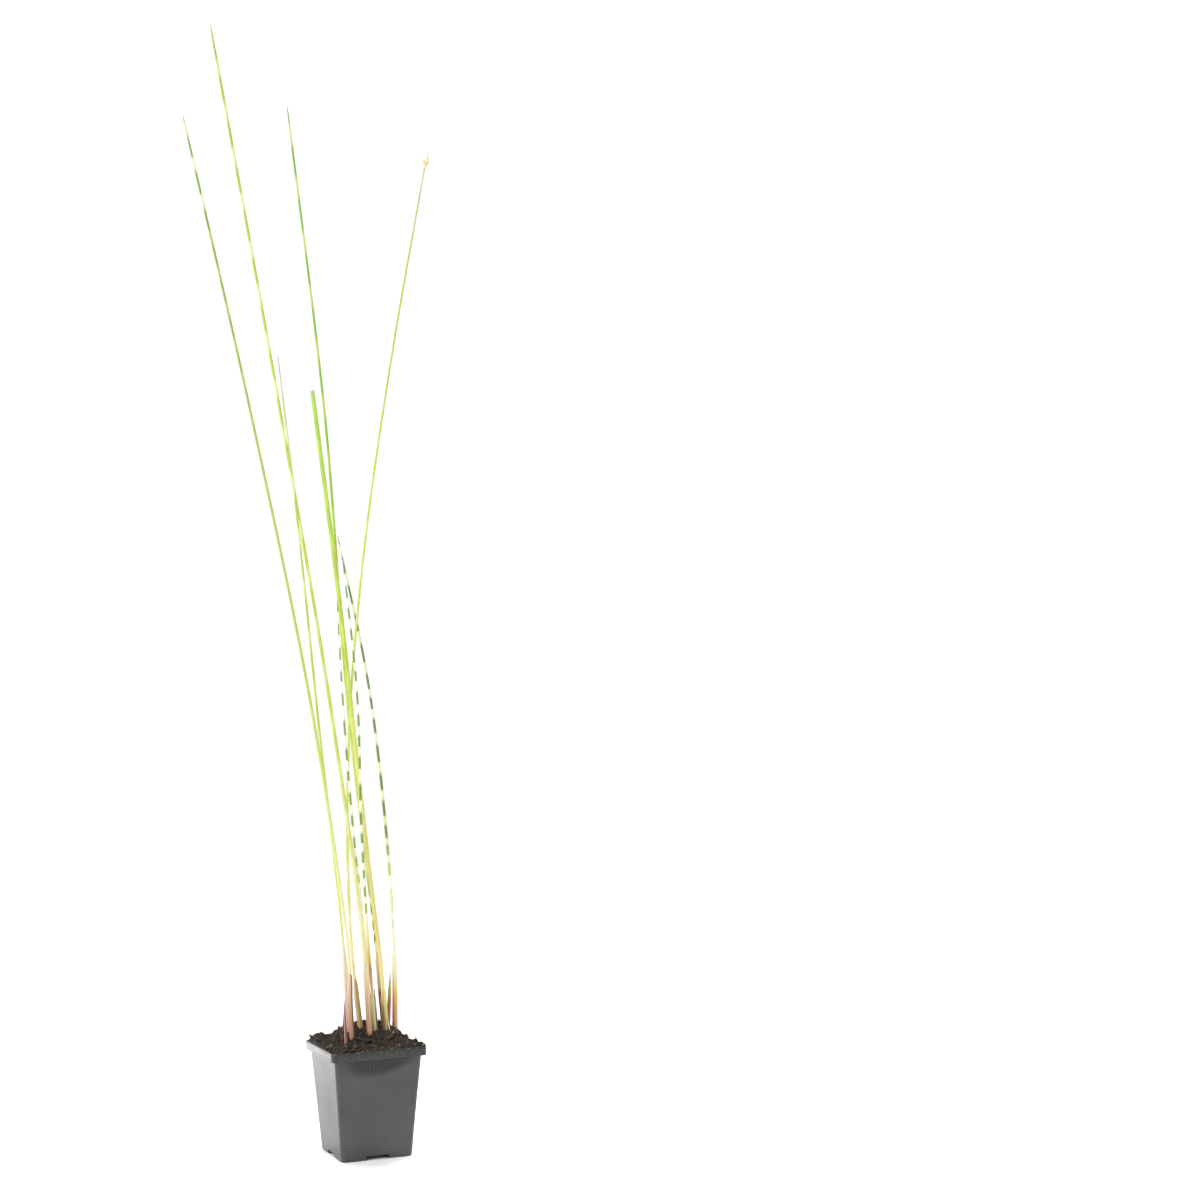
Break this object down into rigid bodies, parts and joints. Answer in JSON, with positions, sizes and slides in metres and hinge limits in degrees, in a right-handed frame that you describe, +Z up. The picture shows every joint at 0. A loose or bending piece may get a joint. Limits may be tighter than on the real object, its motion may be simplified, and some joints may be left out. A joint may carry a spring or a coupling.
{
  "type": "potted zebra rush",
  "caption": "Tall leafless banded rush culms with reddish basal sheaths, growing from peat in a small square plastic nursery pot.",
  "frame": {"origin": "centre of the pot's base, on the plane that it stands on", "axes": "+Z up along the culms, X and Y along the sides of the square pot"},
  "size_m": [0.2243, 0.2506, 1.0951],
  "materials": {
    "pot_plastic": "satin",
    "peat": "matte",
    "rhizome": "matte",
    "green_culm": "satin",
    "banded_culm": "satin",
    "sheath": "satin",
    "red_shoot": "satin",
    "young_shoot": "satin",
    "dry_strip": "matte",
    "spikelets": "matte"
  },
  "bodies": {
    "root": {"pot": "pot_plastic", "soil": "peat", "rhizome": "rhizome", "culm_a": "green_culm", "culm_b": "green_culm", "culm_c": "green_culm", "culm_d": "green_culm", "culm_e": "green_culm", "culm_f": "green_culm", "culm_g": "banded_culm", "culm_h": "banded_culm", "culm_i": "banded_culm", "sheath_a": "sheath", "sheath_b": "sheath", "sheath_c": "sheath", "sheath_d": "sheath", "sheath_e": "sheath", "sheath_f": "sheath", "sheath_g": "sheath", "sheath_h": "sheath", "sheath_i": "sheath", "shoot_front_red": "red_shoot", "shoot_left_red": "red_shoot", "shoot_dark_red": "red_shoot", "shoot_back_brown": "young_shoot", "shoot_olive": "young_shoot", "shoot_grey_green": "young_shoot", "dry_sheath_strip": "dry_strip", "flower_cluster": "spikelets"}
  },
  "joints": []
}
